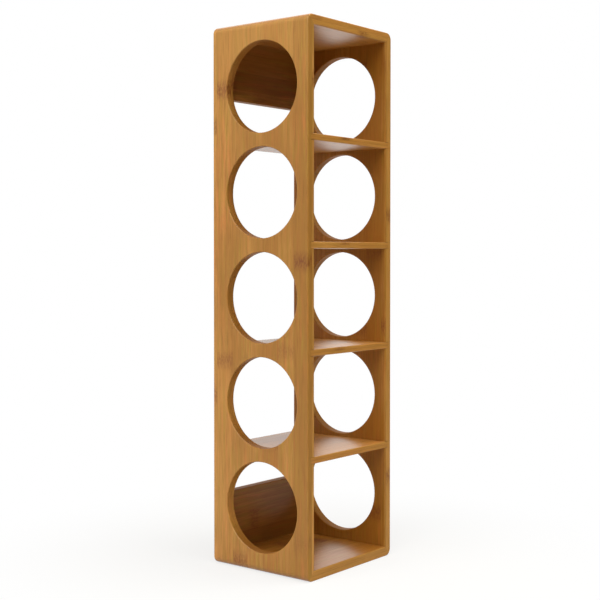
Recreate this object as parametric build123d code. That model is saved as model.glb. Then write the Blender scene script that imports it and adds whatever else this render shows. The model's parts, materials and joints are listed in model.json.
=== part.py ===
from build123d import *
import math
import os

# Upright wine rack of laminated bamboo boards.
# Bottles lie across the rack, one above the other, each through a hole in both side panels.
# Millimetres. The origin is the middle of the footprint, on the floor.
# X runs along the bottles, -Y is the open front, +Y is the wall side, +Z is up.

# Bottle holes
bottle_count = 5
hole_diameter = 89.5
hole_gap = 13.3          # wood between two neighbouring holes
end_margin = 19.65       # wood between an outermost hole and the panel's end
front_margin = 13.6      # wood between a hole and the panel's front edge
back_margin = 18.4       # wood between a hole and the panel's back edge
rim_chamfer = 0.6        # easing of both rims of a hole

# Outer frame of four mitred boards
bay_width = 118.5        # clear width between the side panels
board_thickness = 10.0
corner_radius = 7.0      # rounding of the four long outer corners
edge_round = 1.2         # easing of the boards' front and back edges

# Shelves, let into housings in the side panels
shelf_thickness = 6.5
shelf_edge_round = 0.9
housing_depth = 5.0
housing_clearance = 0.08  # over a shelf and at its ends

# Rails across the back, flush with the panels' back edges
rail_height = 61.5
rail_thickness = 10.0
rail_edge_round = 0.9

# Splines hidden in the mitres
spline_thickness = 2.5
spline_width = 9.0
spline_inset = 4.8       # from the inner corner to the spline, along the mitre
spline_stop = 15.0       # from the boards' edges to the spline's ends
spline_clearance = 0.05
spline_end_gap = 0.4     # room for glue past the spline's long edges

# Dowels between the rails' ends and the side panels
dowel_diameter = 6.0
dowel_spacing = 32.0
dowel_panel_depth = 6.0
dowel_rail_depth = 16.0
dowel_clearance = 0.05
dowel_end_gap = 0.6      # room for glue past a dowel's end

# Sizes that follow from the ones above
hole_radius = hole_diameter / 2
hole_pitch = hole_diameter + hole_gap
rack_height = 2 * end_margin + bottle_count * hole_diameter + (bottle_count - 1) * hole_gap
rack_depth = front_margin + hole_diameter + back_margin
rack_width = bay_width + 2 * board_thickness
bay_height = rack_height - 2 * board_thickness
front_y = -rack_depth / 2
back_y = rack_depth / 2
hole_y = front_y + front_margin + hole_radius
hole_heights = [end_margin + hole_radius + lane * hole_pitch for lane in range(bottle_count)]
shelf_heights = [(low + high) / 2 for low, high in zip(hole_heights, hole_heights[1:])]
rail_y = back_y - rail_thickness / 2

LEFT, RIGHT = -1, 1
BOTTOM, TOP = -1, 1


def inner_height(level):
    """Height of the bottom board's upper face or the top board's lower face."""
    return rack_height / 2 + level * bay_height / 2


def rail_height_centre(level):
    """Height of the middle of the lower or the upper back rail."""
    return inner_height(level) - level * rail_height / 2


def dowel_heights(level):
    """Heights of the two dowels at each end of a rail."""
    middle = rail_height_centre(level)
    return [middle - dowel_spacing / 2, middle + dowel_spacing / 2]


def mitred_ring():
    """The whole outer frame in one piece, with rounded corners and eased edges."""
    outline = RectangleRounded(rack_width, rack_height, corner_radius) - Rectangle(bay_width, bay_height)
    ring = extrude(Plane.XZ * outline, rack_depth / 2, both=True)
    ring = Pos(0, 0, rack_height / 2) * ring
    long_edges = ring.edges().filter_by(Axis.Y)
    rims = [edge for edge in ring.edges() if edge not in long_edges]
    return fillet(rims, edge_round)


def wedge(inner_points):
    """A prism through the depth that ends on the mitres at two inner corners."""
    outer_points = []
    for x, z in reversed(inner_points):
        side = math.copysign(1, x)
        level = math.copysign(1, z - rack_height / 2)
        outer_points.append((x + side * 2 * board_thickness, z + level * 2 * board_thickness))
    outline = make_face(Polyline(*inner_points, *outer_points, close=True))
    return extrude(Plane.XZ * outline, rack_depth, both=True)


def spline_block(side, level, gap, end_gap):
    """A strip square to the mitre at one corner, as large as the spline and its clearances."""
    reach = spline_inset / math.sqrt(2)
    centre = Pos(side * (bay_width / 2 + reach), 0, inner_height(level) + level * reach)
    turn = Rot(0, -45 * side * level, 0)
    length = rack_depth - 2 * spline_stop
    return centre * turn * Box(spline_thickness + 2 * gap, length + 2 * gap, spline_width + 2 * end_gap)


def spline_slot(side, level):
    """The slot for one corner's spline, half in each of the two boards."""
    return spline_block(side, level, spline_clearance, spline_end_gap)


def dowel_rod(side, height, radius, end_gap):
    """A round bar across the joint between a rail's end and a side panel."""
    length = dowel_panel_depth + dowel_rail_depth + 2 * end_gap
    middle = bay_width / 2 + (dowel_panel_depth - dowel_rail_depth) / 2
    return Pos(side * middle, rail_y, height) * Rot(0, 90, 0) * Cylinder(radius, length)


def dowel_hole(side, height):
    """The blind hole for one dowel, half in the rail and half in the panel."""
    return dowel_rod(side, height, dowel_diameter / 2 + dowel_clearance, dowel_end_gap)


def side_panel(ring, side):
    """A full-height side panel: bottle holes, shelf housings, dowel holes and spline slots."""
    inner_x = side * bay_width / 2
    corners = [(inner_x, inner_height(BOTTOM)), (inner_x, inner_height(TOP))]
    panel = ring & wedge(corners)
    for height in hole_heights:
        panel -= Pos(0, hole_y, height) * Rot(0, 90, 0) * Cylinder(hole_radius, 2 * rack_width)
    round_edges = panel.edges().filter_by(GeomType.CIRCLE)
    rims = [edge for edge in round_edges if math.isclose(edge.radius, hole_radius)]
    panel = chamfer(rims, rim_chamfer)
    for height in shelf_heights:
        housing = Box(2 * housing_depth, 2 * rack_depth, shelf_thickness + housing_clearance)
        panel -= Pos(inner_x, 0, height + housing_clearance / 2) * housing
    for level in (BOTTOM, TOP):
        panel -= spline_slot(side, level)
        for height in dowel_heights(level):
            panel -= dowel_hole(side, height)
    return panel


def end_board(ring, level):
    """The top or the bottom board, mitred to both side panels."""
    inner_z = inner_height(level)
    board = ring & wedge([(-bay_width / 2, inner_z), (bay_width / 2, inner_z)])
    for side in (LEFT, RIGHT):
        board -= spline_slot(side, level)
    return board


def shelf(height):
    """A thin shelf between two bottles, with its ends in the panels' housings."""
    length = bay_width + 2 * (housing_depth - housing_clearance)
    board = Pos(0, 0, height) * Box(length, rack_depth, shelf_thickness)
    return fillet(board.edges().filter_by(Axis.X), shelf_edge_round)


def back_rail(level):
    """A rail between the panels, against the top or the bottom board."""
    rail = Pos(0, rail_y, rail_height_centre(level)) * Box(bay_width, rail_thickness, rail_height)
    free_edges = rail.edges().filter_by(Axis.X).group_by(Axis.Z)[0 if level == TOP else -1]
    rail = fillet(free_edges, rail_edge_round)
    for side in (LEFT, RIGHT):
        for height in dowel_heights(level):
            rail -= dowel_hole(side, height)
    return rail


def rail_dowels(level):
    """The four dowels that hold one rail, as separate solids."""
    pegs = []
    for side in (LEFT, RIGHT):
        for height in dowel_heights(level):
            pegs.append(dowel_rod(side, height, dowel_diameter / 2, 0))
    return Compound(children=pegs)


def rack_pieces():
    """Every piece of the rack by name."""
    ring = mitred_ring()
    pieces = {
        "left_side_panel": side_panel(ring, LEFT),
        "right_side_panel": side_panel(ring, RIGHT),
        "top_board": end_board(ring, TOP),
        "bottom_board": end_board(ring, BOTTOM),
        "upper_back_rail": back_rail(TOP),
        "lower_back_rail": back_rail(BOTTOM),
        "upper_rail_dowels": rail_dowels(TOP),
        "lower_rail_dowels": rail_dowels(BOTTOM),
    }
    for number, height in enumerate(shelf_heights, start=1):
        pieces[f"shelf_{number}"] = shelf(height)
    for side, side_name in ((LEFT, "left"), (RIGHT, "right")):
        for level, level_name in ((TOP, "top"), (BOTTOM, "bottom")):
            pieces[f"{level_name}_{side_name}_mitre_spline"] = spline_block(side, level, 0, 0)
    return pieces


os.makedirs("parts", exist_ok=True)
for node, piece in rack_pieces().items():
    export_step(piece, f"parts/{node}.step")
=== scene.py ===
"""A bamboo wine rack for five bottles: procedural bamboo on each board, a white stage and a camera."""
import fnmatch
import json
import math

import bpy
from bpy.props import FloatProperty, FloatVectorProperty, PointerProperty
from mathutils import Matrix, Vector


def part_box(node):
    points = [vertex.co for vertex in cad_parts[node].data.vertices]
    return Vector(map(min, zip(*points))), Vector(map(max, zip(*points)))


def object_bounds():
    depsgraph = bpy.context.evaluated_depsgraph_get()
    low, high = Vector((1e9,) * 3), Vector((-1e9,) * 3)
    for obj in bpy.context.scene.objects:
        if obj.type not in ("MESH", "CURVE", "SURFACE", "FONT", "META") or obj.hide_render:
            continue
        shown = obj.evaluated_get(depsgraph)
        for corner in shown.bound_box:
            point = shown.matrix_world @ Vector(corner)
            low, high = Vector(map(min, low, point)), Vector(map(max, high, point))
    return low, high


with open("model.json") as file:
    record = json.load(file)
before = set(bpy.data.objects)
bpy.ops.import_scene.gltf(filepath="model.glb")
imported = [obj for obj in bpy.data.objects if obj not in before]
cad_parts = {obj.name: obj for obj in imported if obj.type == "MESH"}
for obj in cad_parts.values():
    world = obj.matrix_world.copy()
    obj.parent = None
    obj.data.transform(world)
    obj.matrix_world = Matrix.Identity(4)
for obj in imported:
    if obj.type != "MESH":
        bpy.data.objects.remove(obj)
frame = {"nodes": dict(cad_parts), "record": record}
CAD_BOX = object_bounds()

bl_info = {
    "name": "Bamboo wine rack",
    "version": (1, 0, 0),
    "blender": (4, 5, 0),
    "location": "3D View > Sidebar > Wine rack",
    "description": "Finishes the boards of a wine rack in laminated bamboo and sets up its stage",
    "category": "Material",
}

MM_PER_M = 1000

# A distance in metres that is past every edge of the rack
FAR_AWAY = 1.0

# How a board lies: the axes along its grain, across its strips and through its thickness
UPRIGHT_PANEL = "ZYX"
FLAT_BOARD = "XYZ"
STANDING_RAIL = "XZY"
CROSS_PEG = "XYZ"
MITRE_STRIP = "YXZ"

# Waves of noise per metre along the grain, across it and through the board
STREAK_WAVES = (20.0, 270.0, 270.0)
BUNDLE_WAVES = (45.0, 1100.0, 1100.0)
CLOUD_WAVES = (6.0, 20.0, 20.0)
DRIFT_WAVES = (3.0, 9.0, 9.0)
WOBBLE_WAVES = (60.0, 500.0, 500.0)
KNOT_WAVES = (260.0, 600.0, 600.0)
WEAR_WAVES = (45.0, 70.0, 70.0)

# Steps from seed to seed and from ply to ply, in strips for the lanes and in metres for the noise
SEED_LANES = 11.7
PLY_LANES = 37.3
SEED_SHIFT = 0.31
PLY_SHIFT = 0.7
DRIFT_SHIFT = 0.53

# Levels of noise where a mark sets in and where it is full
TINT_FADE = (0.44, 0.66)
CLOUD_FADE = (0.33, 0.67)
STREAK_FADE = (0.36, 0.64)
DEEP_DRIFT_FADE = (0.5, 0.68)
PALE_DRIFT_FADE = (0.5, 0.32)
DASH_FADE = (0.5, 0.72)
PATCH_FADE = (0.3, 0.7)

# Distances in metres where a line sets in and where it is full
GLUE_FADE = (0.0004, 0.00005)
NODE_LINE_FADE = (0.0016, 0.0003)
NODE_BAND_FADE = (0.013, 0.001)

# How squarely a surface faces an axis where it begins to count and where it counts in full
CUT_END_FADE = (0.25, 0.95)
# The long-edge fade marks where edges are painted paler, as painted light
LONG_EDGE_FADE = (0.6, 0.95)
FLAT_FACE_FADE = (0.35, 0.85)

# How far each layer of colour covers those below it
HUE_COVER = 0.5
REDDISH_COVER = 0.62
GREENISH_COVER = 0.68
CLOUD_COVER = 0.7
STREAK_COVER = 0.6
DASH_COVER = 0.26
NODE_BAND_COVER = 0.9
NODE_LINE_COVER = 0.2
GLUE_COVER = 0.22
CUT_END_COVER = 0.7
WEAR_COVER = 0.1

# Strips of uneven width, and culm nodes that waver, differ in strength and are patchy
STRIP_UNEVENNESS = 0.4
NODE_WOBBLE = 0.012
NODE_POWER = 0.6
PALEST_KNOT = 0.2

# Width of the wear, as shares of the usual: the least, the most, and the part that is worn in full
LEAST_WEAR = 0.45
MOST_WEAR = 1.3
WEAR_CORE = 0.2

# Roughness of the bare wood, what marks and wear add to it, and the satin of the lacquer
WOOD_ROUGHNESS = 0.42
STREAK_ROUGHNESS = 0.12
DASH_ROUGHNESS = 0.06
WEAR_ROUGHNESS = 0.06
LACQUER_ROUGHNESS = 0.26
WOOD_SPECULAR = 0.12

# Depth of the marks, as shares of the relief
DASH_DEPTH = 0.5
GLUE_DEPTH = 0.4
NODE_DEPTH = 0.5

# How far a direction has to turn to the bright side where the room's light sets in and where it is full
ROOM_FADE = (-0.1, 0.55)


def from_srgb(red, green, blue):
    """A colour picked as 0 to 255 on screen, in the linear values that shaders use."""
    linear = []
    for level in (red, green, blue):
        share = level / 255
        linear.append(share / 12.92 if share <= 0.04045 else ((share + 0.055) / 1.055) ** 2.4)
    return tuple(linear)


def with_alpha(colour):
    """A colour as the four numbers that a colour socket holds."""
    return (*colour, 1.0)


# Settings

class BambooFinish(bpy.types.PropertyGroup):
    """Colours and sizes of the stained, lacquered bamboo."""

    pale: FloatVectorProperty(
        name="Pale strips", description="Colour of the palest strips",
        subtype="COLOR", min=0, max=1, default=from_srgb(212, 159, 82))
    deep: FloatVectorProperty(
        name="Deep strips", description="Colour of the deepest strips",
        subtype="COLOR", min=0, max=1, default=from_srgb(150, 100, 36))
    warm: FloatVectorProperty(
        name="Warm strips", description="Reddish colour that some strips and streaks lean to",
        subtype="COLOR", min=0, max=1, default=from_srgb(200, 116, 56))
    # The amber wash is partly a deeper stain and partly painted shade for the inside of the rack
    amber_and_shade: FloatVectorProperty(
        name="Amber boards", description="Colour that the right panel and the bottom board lean to",
        subtype="COLOR", min=0, max=1, default=from_srgb(152, 92, 6))
    honey: FloatVectorProperty(
        name="Honey boards", description="Colour that the shelves and the top board lean to",
        subtype="COLOR", min=0, max=1, default=from_srgb(203, 142, 66))
    olive: FloatVectorProperty(
        name="Olive streaks", description="Greenish colour that some streaks lean to",
        subtype="COLOR", min=0, max=1, default=from_srgb(162, 131, 42))
    # The rails' wash towards this colour is partly a deeper stain and partly painted shade
    fibre: FloatVectorProperty(
        name="Fibres", description="Colour of the fibres and glue lines, which the rails lean to",
        subtype="COLOR", min=0, max=1, default=from_srgb(98, 58, 12))
    knot: FloatVectorProperty(
        name="Culm nodes", description="Colour of the marks where the culm had its nodes",
        subtype="COLOR", min=0, max=1, default=from_srgb(118, 62, 28))
    end_grain: FloatVectorProperty(
        name="End grain", description="Colour of cut ends, which drink up the stain",
        subtype="COLOR", min=0, max=1, default=from_srgb(128, 76, 20))
    worn: FloatVectorProperty(
        name="Worn edges", description="Colour of edges that sanding and hands have thinned",
        subtype="COLOR", min=0, max=1, default=from_srgb(206, 153, 76))
    strip_width: FloatProperty(
        name="Strip width", description="Width of one flat bamboo strip",
        subtype="DISTANCE", unit="LENGTH", min=0.001, default=0.019)
    node_spacing: FloatProperty(
        name="Node spacing", description="Distance between the culm nodes along one strip",
        subtype="DISTANCE", unit="LENGTH", min=0.05, default=0.27)
    wear_width: FloatProperty(
        name="Wear width", description="How far the wear reaches in from an edge",
        subtype="DISTANCE", unit="LENGTH", min=0.0005, default=0.0022)
    relief: FloatProperty(
        name="Relief", description="Depth of the fibres under the lacquer",
        subtype="DISTANCE", unit="LENGTH", min=0, default=0.00004)
    lacquer: FloatProperty(
        name="Lacquer", description="Weight of the satin lacquer",
        subtype="FACTOR", min=0, max=1, default=0.85)


class StageSettings(bpy.types.PropertyGroup):
    """Floor, light and camera."""

    floor_colour: FloatVectorProperty(
        name="Floor", description="Colour of the floor",
        subtype="COLOR", min=0, max=1, default=(0.75, 0.74, 0.69))
    floor_veil: FloatProperty(
        name="Floor veil", description="Share of plain white over the rack's shadow on the floor",
        subtype="FACTOR", min=0, max=1, default=0.72)
    floor_size: FloatProperty(
        name="Floor size", description="Side of the square floor", unit="LENGTH", default=2.0)
    shadow_start: FloatProperty(
        name="Shadow start", description="How far from the middle the shadow begins to fade",
        unit="LENGTH", default=0.1)
    shadow_end: FloatProperty(
        name="Shadow end", description="How far from the middle the floor is plain white",
        unit="LENGTH", default=0.4)
    sky_level: FloatProperty(
        name="Sky", description="Soft light from the bright side of the room", min=0, default=0.42)
    sky_shade: FloatProperty(
        name="Shade", description="Share of white that polished faces mirror from the room's dim side",
        subtype="FACTOR", min=0, max=1, default=0.14)
    bright_side: FloatVectorProperty(
        name="Bright side", description="Direction of the bright side of the room",
        subtype="DIRECTION", default=(0.0, 0.9, 0.35))
    key_power: FloatProperty(
        name="Key power", description="Power of the soft lamp on the left", unit="POWER", default=36.0)
    key_size: FloatProperty(
        name="Key size", description="Side of the soft lamp on the left", unit="LENGTH", default=1.8)
    key_place: FloatVectorProperty(
        name="Key place", description="Place of the soft lamp on the left",
        subtype="TRANSLATION", unit="LENGTH", default=(-1.4, -0.27, 1.55))
    fill_power: FloatProperty(
        name="Fill power", description="Power of the soft lamp above the front",
        unit="POWER", default=44.0)
    fill_size: FloatProperty(
        name="Fill size", description="Side of the soft lamp above the front",
        unit="LENGTH", default=1.6)
    fill_place: FloatVectorProperty(
        name="Fill place", description="Place of the soft lamp above the front",
        subtype="TRANSLATION", unit="LENGTH", default=(0.3, -0.78, 2.2))
    camera_place: FloatVectorProperty(
        name="Camera place", description="Place of the camera",
        subtype="TRANSLATION", unit="LENGTH", default=(-0.9376, -0.746, 0.3126))
    camera_turn: FloatProperty(
        name="Camera turn", description="Turn of the camera about the upright axis",
        subtype="ANGLE", unit="ROTATION", default=math.radians(-51.333))
    camera_tilt: FloatProperty(
        name="Camera tilt", description="How far the camera looks up from level",
        subtype="ANGLE", unit="ROTATION", default=math.radians(-1.213))
    camera_lens: FloatProperty(
        name="Lens", description="Focal length on a sensor 36 mm wide", unit="CAMERA", default=70.32)
    camera_shift: FloatProperty(
        name="Shift", description="Upward shift of the lens, in image widths", default=-0.035)


# Node building

class Wiring:
    """Adds nodes to one node tree. Most calls give back what the new node puts out."""

    column = 220

    # A mix node has its own sockets for each kind of value, and these numbers are the colour ones
    mix_inputs = (0, 6, 7)
    mix_output = 2

    def __init__(self, tree):
        self.tree = tree

    def add(self, kind, **settings):
        """A new node to the right of the last one."""
        node = self.tree.nodes.new(kind)
        node.location.x = self.column * len(self.tree.nodes)
        for name, value in settings.items():
            setattr(node, name, value)
        return node

    def feed(self, socket, value):
        """Links a socket to another one, or sets it to a plain value."""
        if isinstance(value, bpy.types.NodeSocket):
            self.tree.links.new(value, socket)
        else:
            socket.default_value = value

    def feed_each(self, sockets, values):
        """Feeds several sockets in order."""
        for socket, value in zip(sockets, values):
            self.feed(socket, value)

    def calc(self, operation, *values):
        """One arithmetic step."""
        node = self.add("ShaderNodeMath", operation=operation)
        self.feed_each(node.inputs, values)
        return node.outputs["Value"]

    def vector_calc(self, operation, *values, output="Vector"):
        """One arithmetic step on vectors, which puts out a vector or a value."""
        node = self.add("ShaderNodeVectorMath", operation=operation)
        self.feed_each(node.inputs, values)
        return node.outputs[output]

    def fade(self, value, start, end, low=0.0, high=1.0):
        """A soft step: low at start, high at end."""
        node = self.add("ShaderNodeMapRange", interpolation_type="SMOOTHSTEP")
        names = ("Value", "From Min", "From Max", "To Min", "To Max")
        self.feed_each([node.inputs[name] for name in names], (value, start, end, low, high))
        return node.outputs["Result"]

    def blend(self, factor, first, second):
        """A mix of two colours."""
        node = self.add("ShaderNodeMix", data_type="RGBA")
        self.feed_each([node.inputs[number] for number in self.mix_inputs], (factor, first, second))
        return node.outputs[self.mix_output]

    def split(self, vector):
        """The three numbers of a vector."""
        node = self.add("ShaderNodeSeparateXYZ")
        self.feed(node.inputs["Vector"], vector)
        return tuple(node.outputs)

    def join(self, *values):
        """A vector of up to three numbers, with 0 for those left out."""
        node = self.add("ShaderNodeCombineXYZ")
        self.feed_each(node.inputs, values)
        return node.outputs["Vector"]

    def noises(self, place, waves, detail=2.0, grit=0.5):
        """Three soft noises of so many waves per metre, with more fine detail where grit is high."""
        node = self.add("ShaderNodeTexNoise")
        self.feed(node.inputs["Vector"], self.vector_calc("MULTIPLY", place, waves))
        node.inputs["Scale"].default_value = 1.0
        node.inputs["Detail"].default_value = detail
        node.inputs["Roughness"].default_value = grit
        return self.split(node.outputs["Color"])

    def noise(self, place, waves, **settings):
        """One such noise."""
        return self.noises(place, waves, **settings)[0]

    def chance(self, *numbers):
        """A random value from 0 to 1 that belongs to two or three numbers."""
        node = self.add("ShaderNodeTexWhiteNoise", noise_dimensions=f"{len(numbers)}D")
        self.feed(node.inputs["Vector"], self.join(*numbers))
        return node.outputs["Value"]

    def group(self, tree, **values):
        """A copy of a node group, with values for its inputs in place of their defaults."""
        node = self.add("ShaderNodeGroup", node_tree=tree)
        for name, value in values.items():
            self.feed(node.inputs[name.replace("_", " ").capitalize()], value)
        return node.outputs


def node_group(name, inputs, outputs, wire):
    """The shader group of that name, which is made and wired at its first use.

    Inputs and outputs list the names of the sockets by their kind.
    """
    tree = bpy.data.node_groups.get(name)
    if tree is not None:
        return tree
    tree = bpy.data.node_groups.new(name, "ShaderNodeTree")
    for direction, sockets in (("INPUT", inputs), ("OUTPUT", outputs)):
        for kind, labels in sockets.items():
            for label in labels:
                tree.interface.new_socket(label, in_out=direction, socket_type="NodeSocket" + kind)
    wiring = Wiring(tree)
    wire(wiring, wiring.add("NodeGroupInput").outputs, wiring.add("NodeGroupOutput").inputs)
    return tree


# Bamboo

def lay_strips(wiring, given, across, through):
    """Strips side by side in two plies, each ply with strips of its own.

    Gives back the ply, the strip's number, tone and hue, and a mask of the glue lines.
    """
    calc = wiring.calc
    ply = calc("GREATER_THAN", through, given["Ply seam"])
    start = calc("MULTIPLY_ADD", ply, PLY_LANES, calc("MULTIPLY", given["Seed"], SEED_LANES))
    lane = calc("ADD", calc("DIVIDE", across, given["Strip width"]), start)
    strip = wiring.add("ShaderNodeTexVoronoi", voronoi_dimensions="1D")
    border = wiring.add("ShaderNodeTexVoronoi", voronoi_dimensions="1D", feature="DISTANCE_TO_EDGE")
    for voronoi in (strip, border):
        wiring.feed(voronoi.inputs["W"], lane)
        voronoi.inputs["Scale"].default_value = 1.0
        voronoi.inputs["Randomness"].default_value = STRIP_UNEVENNESS
    tone, hue = wiring.split(strip.outputs["Color"])[:2]
    seam_gap = calc("MULTIPLY", border.outputs["Distance"], given["Strip width"])
    ply_gap = calc("ABSOLUTE", calc("SUBTRACT", through, given["Ply seam"]))
    glue = calc("MAXIMUM", wiring.fade(seam_gap, *GLUE_FADE), wiring.fade(ply_gap, *GLUE_FADE))
    return ply, strip.outputs["W"], tone, hue, glue


def mark_nodes(wiring, given, along, strip):
    """Masks of the culm nodes' lines and of the bands around them, at heights of each strip's own."""
    calc, spacing, seed = wiring.calc, given["Node spacing"], given["Node seed"]
    ring = calc("ADD", calc("DIVIDE", along, spacing), wiring.chance(strip, seed))
    ring = calc("MULTIPLY_ADD", wiring.noise(given["Board"], WOBBLE_WAVES), NODE_WOBBLE, ring)
    number = calc("ROUND", ring)
    gap = calc("MULTIPLY", calc("ABSOLUTE", calc("SUBTRACT", ring, number)), spacing)
    strength = calc("POWER", wiring.chance(number, strip, seed), NODE_POWER)
    line = calc("MULTIPLY", wiring.fade(gap, *NODE_LINE_FADE), strength)
    band = calc("MULTIPLY", wiring.fade(gap, *NODE_BAND_FADE), strength)
    patches = wiring.fade(wiring.noise(given["Board"], KNOT_WAVES), *PATCH_FADE, low=PALEST_KNOT)
    return line, calc("MULTIPLY", band, patches)


def wire_bamboo(wiring, given, made):
    """Lays the colours of strips, fibres, culm nodes, glue and cut ends over each other."""
    calc, fade = wiring.calc, wiring.fade
    along, across, through = wiring.split(given["Board"])
    facing = wiring.vector_calc("ABSOLUTE", given["Facing"])
    facing_along, facing_across, facing_through = wiring.split(facing)
    ply, strip, tone, hue, glue = lay_strips(wiring, given, across, through)
    node_line, node_band = mark_nodes(wiring, given, along, strip)

    # Fibres: soft streaks, fine bundles that show as dashes, and slow changes of tone
    shift = wiring.join(calc("MULTIPLY", given["Seed"], SEED_SHIFT), calc("MULTIPLY", ply, PLY_SHIFT))
    place = wiring.vector_calc("ADD", given["Board"], shift)
    drift_shift = wiring.join(calc("MULTIPLY", given["Drift seed"], DRIFT_SHIFT))
    drift_place = wiring.vector_calc("ADD", place, drift_shift)
    streak, reddish, greenish = wiring.noises(place, STREAK_WAVES, detail=5.0, grit=0.62)
    dashes = fade(wiring.noise(place, BUNDLE_WAVES, detail=3.0), *DASH_FADE)
    cloud = wiring.noise(place, CLOUD_WAVES, detail=3.0)
    drift = wiring.noise(drift_place, DRIFT_WAVES, detail=1.0)

    # Layers from the bottom up: where each lies, how far it covers there, and its colour
    everywhere = 1.0
    layers = (
        (everywhere, tone, "Pale"),
        (hue, HUE_COVER, "Warm"),
        (fade(reddish, *TINT_FADE), REDDISH_COVER, "Warm"),
        (fade(greenish, *TINT_FADE), GREENISH_COVER, "Olive"),
        (fade(cloud, *CLOUD_FADE), CLOUD_COVER, "Deep"),
        (fade(streak, *STREAK_FADE), STREAK_COVER, "Deep"),
        (fade(drift, *DEEP_DRIFT_FADE), given["Drift"], "Deep"),
        (fade(drift, *PALE_DRIFT_FADE), given["Drift"], "Pale"),
        # On the right panel, the bottom board and the rails this wash is partly painted shade
        (everywhere, given["Wash amount"], "Wash"),
        (ply, given["Ply step"], "Pale"),
        # Painted light: the long edges, which face across the strips, are painted paler
        (fade(facing_across, *LONG_EDGE_FADE), given["Pale edges"], "Pale"),
        (dashes, DASH_COVER, "Fibre"),
        (node_band, NODE_BAND_COVER, "Knot"),
        (node_line, NODE_LINE_COVER, "Knot"),
        (glue, GLUE_COVER, "Fibre"),
        (fade(facing_along, *CUT_END_FADE), CUT_END_COVER, "End grain"),
    )
    colour = given["Deep"]
    for mask, cover, name in layers:
        colour = wiring.blend(calc("MULTIPLY", mask, cover), colour, given[name])
    wiring.feed(made["Color"], colour)

    # Flat faces keep the lacquer, while cut edges drink it up and stay dull
    wiring.feed(made["Flat"], fade(facing_through, *FLAT_FACE_FADE))
    roughness = calc("MULTIPLY_ADD", streak, STREAK_ROUGHNESS, WOOD_ROUGHNESS)
    wiring.feed(made["Roughness"], calc("MULTIPLY_ADD", dashes, DASH_ROUGHNESS, roughness))
    height = 1.0
    for mask, depth in ((dashes, DASH_DEPTH), (glue, GLUE_DEPTH), (node_line, NODE_DEPTH)):
        height = calc("MULTIPLY_ADD", mask, -depth, height)
    wiring.feed(made["Height"], height)


def bamboo_strips_group():
    """Laminated bamboo: two plies of flat strips with fibres, culm nodes, glue lines and end grain.

    Board and facing hold the place and the normal along the grain, across it and through the board.
    """
    return node_group(
        "Bamboo strips",
        {
            "Vector": ("Board", "Facing"),
            "Float": (
                "Seed", "Node seed", "Node spacing", "Drift seed", "Drift", "Strip width",
                "Ply seam", "Ply step", "Pale edges", "Wash amount"),
            "Color": ("Pale", "Deep", "Warm", "Olive", "Fibre", "Knot", "End grain", "Wash"),
        },
        {"Color": ("Color",), "Float": ("Roughness", "Height", "Flat")},
        wire_bamboo)


def wire_bottle_rims(wiring, given, made):
    """Finds the nearest hole in the row and measures how far the place is from its wall."""
    calc = wiring.calc
    offset = wiring.vector_calc("SUBTRACT", given["Place"], given["First hole"])
    depth, height = wiring.split(offset)[1:]
    lane = calc("ROUND", calc("DIVIDE", height, given["Pitch"]))
    lane = calc("MAXIMUM", calc("MINIMUM", lane, given["Last lane"]), 0.0)
    height = calc("SUBTRACT", height, calc("MULTIPLY", lane, given["Pitch"]))
    reach = wiring.vector_calc("LENGTH", wiring.join(depth, height), output="Value")
    wiring.feed(made["Distance"], calc("ABSOLUTE", calc("SUBTRACT", reach, given["Radius"])))


def bottle_rims_group():
    """Distance from a point on a side panel to the wall of the nearest bottle hole."""
    return node_group(
        "Bottle rims",
        {"Vector": ("Place", "First hole"), "Float": ("Pitch", "Last lane", "Radius")},
        {"Float": ("Distance",)},
        wire_bottle_rims)


def wire_worn_edges(wiring, given, made):
    """Measures how far the place is from the nearest edge and fades the wear out with it."""
    calc = wiring.calc
    off_middle = wiring.vector_calc("ABSOLUTE", given["Board"])
    inward = wiring.vector_calc("SUBTRACT", given["Half size"], off_middle)
    along, across, through = wiring.split(inward)
    outline = calc("MINIMUM", calc("MINIMUM", along, across), given["Reach"])
    edge = calc("MAXIMUM", outline, through)
    patches = wiring.noise(given["Board"], WEAR_WAVES)
    share = wiring.fade(patches, *PATCH_FADE, low=LEAST_WEAR, high=MOST_WEAR)
    width = calc("MULTIPLY", given["Width"], share)
    wiring.feed(made["Wear"], wiring.fade(edge, width, calc("MULTIPLY", width, WEAR_CORE)))


def worn_edges_group():
    """A mask along a board's edges, broken up by noise. Reach is the distance to any other edge."""
    return node_group(
        "Worn edges",
        {"Vector": ("Board", "Half size"), "Float": ("Reach", "Width")},
        {"Float": ("Wear",)},
        wire_worn_edges)


# Boards

def board_axes(wiring, vector, lay):
    """A vector's numbers in the order along, across, through."""
    numbers = dict(zip("XYZ", wiring.split(vector)))
    return wiring.join(*(numbers[axis] for axis in lay))


def in_lay(vector, lay):
    """The same order for a plain vector."""
    return Vector([vector["XYZ".index(axis)] for axis in lay])


def rim_distance(wiring, place):
    """Distance to the nearest bottle hole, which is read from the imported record."""
    lanes = [mount for mount in frame["record"]["mounts"] if mount["name"].startswith("bottle_lane")]
    lanes.sort(key=lambda mount: mount["pos_m"][2])
    first, second = lanes[0], lanes[1]
    return wiring.group(
        bottle_rims_group(), place=place, first_hole=first["pos_m"],
        pitch=second["pos_m"][2] - first["pos_m"][2], last_lane=len(lanes) - 1,
        radius=first["dims"]["r_mm"] / MM_PER_M)["Distance"]


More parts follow.
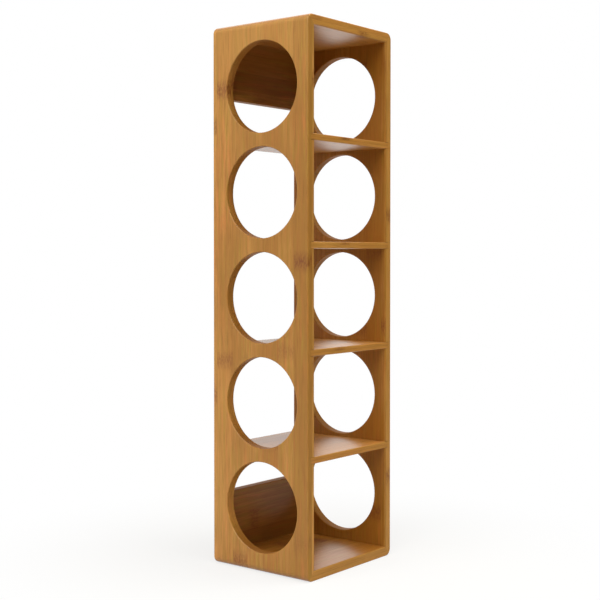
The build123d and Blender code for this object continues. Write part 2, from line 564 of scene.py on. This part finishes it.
def bamboo_material(
        node, finish, lay, seed, node_seed=1, drift_seed=1, drift=0.0, wash="pale", wash_amount=0.0,
        gloss=0.5, ply_seam=0.0, ply_step=0.0, pale_edges=0.0, free_ends=False, holes=False):
    """Stained and lacquered bamboo for one board, laid out from the board's own box.

    The wash is one of the finish's colours, which draws the whole board towards it. On the right
    panel, the bottom board and the rails the wash is partly a deeper stain and partly painted shade.
    The faces across the strips, the long edges, can be painted paler, as painted light. The ply seam
    is where the second ply begins, counted from the board's middle, and the ply step is how much
    paler that ply is. Ends that aren't free run into a joint and don't wear.
    """
    lowest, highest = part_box(node)
    material = bpy.data.materials.new(f"bamboo {node.replace('_', ' ')}")
    material.use_nodes = True
    wiring = Wiring(material.node_tree)
    source = wiring.add("ShaderNodeTexCoord").outputs
    place = source["Object"]
    board = board_axes(wiring, wiring.vector_calc("SUBTRACT", place, (lowest + highest) / 2), lay)
    facing = board_axes(wiring, source["Normal"], lay)
    grain_colours = ("pale", "deep", "warm", "olive", "fibre", "knot", "end_grain")
    bamboo = wiring.group(
        bamboo_strips_group(), board=board, facing=facing, seed=seed, node_seed=node_seed,
        node_spacing=finish.node_spacing, drift_seed=drift_seed, drift=drift,
        strip_width=finish.strip_width, ply_seam=ply_seam, ply_step=ply_step, pale_edges=pale_edges,
        wash=with_alpha(getattr(finish, wash)), wash_amount=wash_amount,
        **{name: with_alpha(getattr(finish, name)) for name in grain_colours})

    half_size = in_lay(highest - lowest, lay) / 2
    if not free_ends:
        half_size.x += FAR_AWAY
    wear = wiring.group(
        worn_edges_group(), board=board, half_size=half_size, width=finish.wear_width,
        reach=rim_distance(wiring, place) if holes else FAR_AWAY)["Wear"]

    bump = wiring.add("ShaderNodeBump")
    bump.inputs["Distance"].default_value = finish.relief
    wiring.feed(bump.inputs["Height"], bamboo["Height"])
    surface = {
        "Base Color": wiring.blend(
            wiring.calc("MULTIPLY", wear, WEAR_COVER), bamboo["Color"], with_alpha(finish.worn)),
        "Roughness": wiring.calc("MULTIPLY_ADD", wear, WEAR_ROUGHNESS, bamboo["Roughness"]),
        "Normal": bump.outputs["Normal"],
        "Specular IOR Level": WOOD_SPECULAR,
        "Coat Weight": wiring.calc("MULTIPLY", bamboo["Flat"], finish.lacquer * gloss),
        "Coat Roughness": LACQUER_ROUGHNESS,
    }
    shader = material.node_tree.nodes["Principled BSDF"]
    for name, value in surface.items():
        wiring.feed(shader.inputs[name], value)
    return material


def nodes_called(pattern):
    """The names of the frame's nodes that fit a pattern, in order."""
    names = sorted(fnmatch.filter(frame["nodes"], pattern))
    if not names:
        raise RuntimeError(f"The frame has no node called {pattern}")
    return names


def finish_board(context, node, lay, seed, **look):
    """Makes the bamboo for one board of the frame and puts it on."""
    material = bamboo_material(node, context.scene.bamboo_finish, lay, seed, **look)
    for slot in frame["nodes"][node].material_slots:
        slot.material = material


class RACK_OT_side_panels(bpy.types.Operator):
    """Finish both side panels, with upright grain and eased bottle holes"""

    bl_idname = "wine_rack.side_panels"
    bl_label = "Side panels"

    def execute(self, context):
        # The left panel's long edges are painted paler, as painted light
        finish_board(
            context, "left_side_panel", UPRIGHT_PANEL, seed=37, node_seed=3, drift_seed=12, drift=0.27,
            wash_amount=0.06, ply_seam=0.001, ply_step=0.14, pale_edges=0.1, free_ends=True, holes=True)
        # The right panel's amber wash is partly a deeper stain and partly painted shade
        finish_board(
            context, "right_side_panel", UPRIGHT_PANEL, seed=8, wash="amber_and_shade", wash_amount=0.45,
            gloss=0.25, ply_seam=-0.0035, ply_step=0.42, free_ends=True, holes=True)
        return {"FINISHED"}


class RACK_OT_end_boards(bpy.types.Operator):
    """Finish the top and the bottom board"""

    bl_idname = "wine_rack.end_boards"
    bl_label = "Top and bottom boards"

    def execute(self, context):
        finish_board(
            context, "top_board", FLAT_BOARD, seed=21, wash="honey", wash_amount=0.6, gloss=1.15)
        # The bottom board's amber wash is partly a deeper stain and partly painted shade, and its long
        # edges are painted paler, as painted light
        finish_board(
            context, "bottom_board", FLAT_BOARD, seed=22, wash="amber_and_shade", wash_amount=0.45, gloss=1.15,
            pale_edges=0.36)
        return {"FINISHED"}


class RACK_OT_shelves(bpy.types.Operator):
    """Finish the four thin shelves"""

    bl_idname = "wine_rack.shelves"
    bl_label = "Shelves"

    def execute(self, context):
        for seed, node in enumerate(nodes_called("shelf_*"), start=31):
            finish_board(context, node, FLAT_BOARD, seed, wash="honey", wash_amount=0.45, gloss=1.0)
        return {"FINISHED"}


class RACK_OT_back_rails(bpy.types.Operator):
    """Finish the two rails across the back"""

    bl_idname = "wine_rack.back_rails"
    bl_label = "Back rails"

    def execute(self, context):
        # The rails' wash is partly a deeper stain and partly painted shade
        for node, seed, wash_amount in (("upper_back_rail", 41, 0.26), ("lower_back_rail", 42, 0.24)):
            finish_board(
                context, node, STANDING_RAIL, seed, wash="fibre", wash_amount=wash_amount, gloss=0.3)
        return {"FINISHED"}


class RACK_OT_hidden_joinery(bpy.types.Operator):
    """Finish the dowels and the mitre splines inside the joints"""

    bl_idname = "wine_rack.hidden_joinery"
    bl_label = "Hidden joinery"

    def execute(self, context):
        dowels = nodes_called("*_dowels")
        splines = nodes_called("*_spline")
        for seed, node in enumerate(sorted(dowels + splines), start=51):
            finish_board(context, node, CROSS_PEG if node in dowels else MITRE_STRIP, seed)
        return {"FINISHED"}


# Stage

def place_in_scene(name, data):
    """A new object in the scene."""
    thing = bpy.data.objects.new(name, data)
    bpy.context.scene.collection.objects.link(thing)
    return thing


def seen_directly(wiring):
    """Two masks: rays from the camera, and rays that a glossy or clear surface sends on."""
    path = wiring.add("ShaderNodeLightPath").outputs
    sent_on = wiring.calc("MAXIMUM", path["Is Glossy Ray"], path["Is Transmission Ray"])
    return path["Is Camera Ray"], sent_on


def floor_material(settings):
    """A white floor that takes the rack's shadow and runs out into plain white."""
    material = bpy.data.materials.new("white floor")
    material.use_nodes = True
    tree = material.node_tree
    tree.nodes.clear()
    wiring = Wiring(tree)
    paint = wiring.add("ShaderNodeBsdfDiffuse")
    paint.inputs["Color"].default_value = with_alpha(settings.floor_colour)
    place = wiring.add("ShaderNodeTexCoord").outputs["Object"]
    away = wiring.vector_calc("LENGTH", place, output="Value")
    white = wiring.fade(away, settings.shadow_start, settings.shadow_end, low=settings.floor_veil)
    seen = wiring.calc("MAXIMUM", *seen_directly(wiring))
    whole = wiring.add("ShaderNodeMixShader")
    glow = wiring.add("ShaderNodeEmission")
    wiring.feed_each(
        whole.inputs,
        (wiring.calc("MULTIPLY", seen, white), paint.outputs["BSDF"], glow.outputs["Emission"]))
    wiring.feed(wiring.add("ShaderNodeOutputMaterial").inputs["Surface"], whole.outputs["Shader"])
    return material


def add_floor(settings):
    """A square floor at the rack's foot."""
    half = settings.floor_size / 2
    corners = [(-half, -half, 0), (half, -half, 0), (half, half, 0), (-half, half, 0)]
    mesh = bpy.data.meshes.new("floor")
    mesh.from_pydata(corners, [], [range(len(corners))])
    mesh.materials.append(floor_material(settings))
    place_in_scene("floor", mesh)


def add_sky(settings):
    """Soft white light, brightest on one side of the room, which the camera sees as plain white."""
    world = bpy.data.worlds.new("white studio")
    world.use_nodes = True
    wiring = Wiring(world.node_tree)
    background = world.node_tree.nodes["Background"]
    background.inputs["Color"].default_value = with_alpha((1, 1, 1))
    direction = wiring.add("ShaderNodeTexCoord").outputs["Generated"]
    toward = wiring.vector_calc("DOT_PRODUCT", direction, settings.bright_side, output="Value")
    room = wiring.fade(toward, *ROOM_FADE)
    light = wiring.calc("MULTIPLY", room, settings.sky_level)
    mirrored = wiring.calc("MAXIMUM", room, settings.sky_shade)
    camera, sent_on = seen_directly(wiring)
    level = wiring.fade(sent_on, 0.0, 1.0, low=light, high=mirrored)
    wiring.feed(background.inputs["Strength"], wiring.calc("MAXIMUM", level, camera))
    bpy.context.scene.world = world


def add_lamp(name, power, size, place):
    """A large soft lamp, aimed at the middle of the rack."""
    light = bpy.data.lights.new(name, "AREA")
    light.energy = power
    light.size = size
    lamp = place_in_scene(name, light)
    lamp.location = place
    middle = (CAD_BOX[0] + CAD_BOX[1]) / 2
    lamp.rotation_euler = (middle - lamp.location).to_track_quat("-Z", "Y").to_euler()


def add_camera(settings):
    """A camera that looks slightly down, with a small lens shift so that uprights stay nearly upright."""
    lens = bpy.data.cameras.new("camera")
    lens.lens = settings.camera_lens
    lens.shift_y = settings.camera_shift
    camera = place_in_scene("camera", lens)
    camera.location = settings.camera_place
    camera.rotation_euler = (math.radians(90) + settings.camera_tilt, 0, settings.camera_turn)
    bpy.context.scene.camera = camera


class RACK_OT_stage(bpy.types.Operator):
    """Set up the white floor, the soft light and the camera"""

    bl_idname = "wine_rack.stage"
    bl_label = "Stage"

    def execute(self, context):
        settings = context.scene.rack_stage
        add_floor(settings)
        add_sky(settings)
        add_lamp("soft key", settings.key_power, settings.key_size, settings.key_place)
        add_lamp("soft fill", settings.fill_power, settings.fill_size, settings.fill_place)
        add_camera(settings)
        context.scene.view_settings.view_transform = "Standard"
        return {"FINISHED"}


OPERATORS = (
    RACK_OT_side_panels, RACK_OT_end_boards, RACK_OT_shelves, RACK_OT_back_rails,
    RACK_OT_hidden_joinery, RACK_OT_stage,
)


class RACK_PT_sidebar(bpy.types.Panel):
    """Lists the settings and the steps of the rack"""

    bl_idname = "RACK_PT_sidebar"
    bl_label = "Wine rack"
    bl_space_type = "VIEW_3D"
    bl_region_type = "UI"
    bl_category = "Wine rack"

    def draw(self, context):
        for settings in (context.scene.bamboo_finish, context.scene.rack_stage):
            box = self.layout.box()
            for name in settings.__annotations__:
                box.prop(settings, name)
        for operator in OPERATORS:
            self.layout.operator(operator.bl_idname)


CLASSES = (BambooFinish, StageSettings, *OPERATORS, RACK_PT_sidebar)


def register():
    for cls in CLASSES:
        bpy.utils.register_class(cls)
    bpy.types.Scene.bamboo_finish = PointerProperty(type=BambooFinish)
    bpy.types.Scene.rack_stage = PointerProperty(type=StageSettings)


def unregister():
    del bpy.types.Scene.rack_stage
    del bpy.types.Scene.bamboo_finish
    for cls in reversed(CLASSES):
        bpy.utils.unregister_class(cls)


def main():
    register()
    bpy.ops.wine_rack.side_panels()
    bpy.ops.wine_rack.end_boards()
    bpy.ops.wine_rack.shelves()
    bpy.ops.wine_rack.back_rails()
    bpy.ops.wine_rack.hidden_joinery()
    bpy.ops.wine_rack.stage()


if __name__ == "__main__":
    main()
